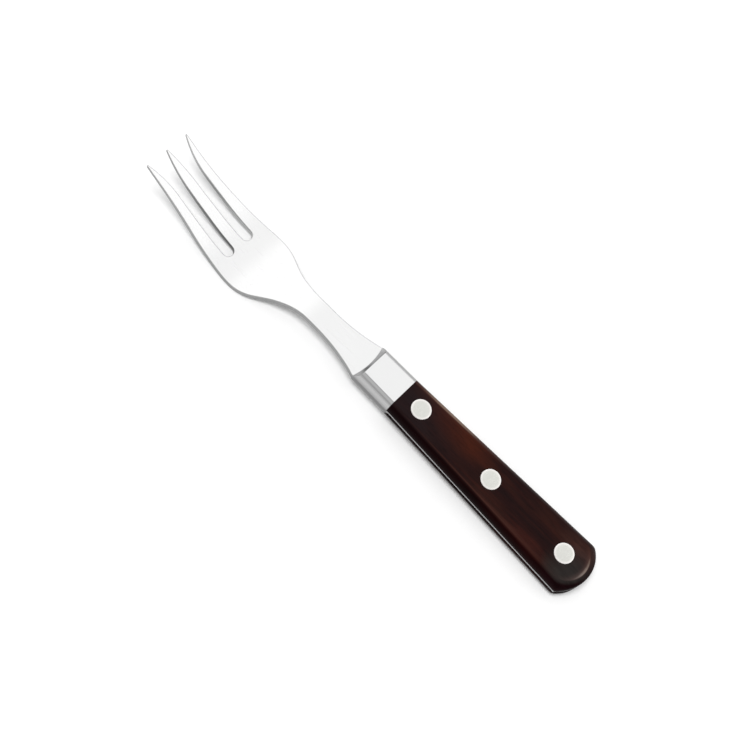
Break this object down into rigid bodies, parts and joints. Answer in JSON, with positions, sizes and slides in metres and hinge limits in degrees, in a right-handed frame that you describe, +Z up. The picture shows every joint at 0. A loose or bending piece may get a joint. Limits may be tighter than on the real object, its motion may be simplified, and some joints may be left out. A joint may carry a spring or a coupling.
{
  "type": "steak fork",
  "caption": "Full-tang steak fork with long pointed tines, a curved head, steel bolster cheeks and a tapered dark wood handle with flush rivets.",
  "frame": {"origin": "on the table the fork lies on, under the middle of its length and width", "axes": "+X along the fork from the butt towards the points of the tines, +Z up out of the table, +Y to the left when looking towards the tines"},
  "size_m": [0.2049, 0.0258, 0.0176],
  "materials": {
    "blade_steel": "fine satin",
    "bolster_steel": "polished",
    "dark_wood": "polished, close grain",
    "rivet_metal": "ground flush and polished"
  },
  "bodies": {
    "root": {"fork_blank": "blade_steel", "top_bolster": "bolster_steel", "bottom_bolster": "bolster_steel", "top_scale": "dark_wood", "bottom_scale": "dark_wood", "rivet_sleeve_1": "rivet_metal", "rivet_sleeve_2": "rivet_metal", "rivet_sleeve_3": "rivet_metal", "rivet_pin_1": "rivet_metal", "rivet_pin_2": "rivet_metal", "rivet_pin_3": "rivet_metal"}
  },
  "joints": []
}
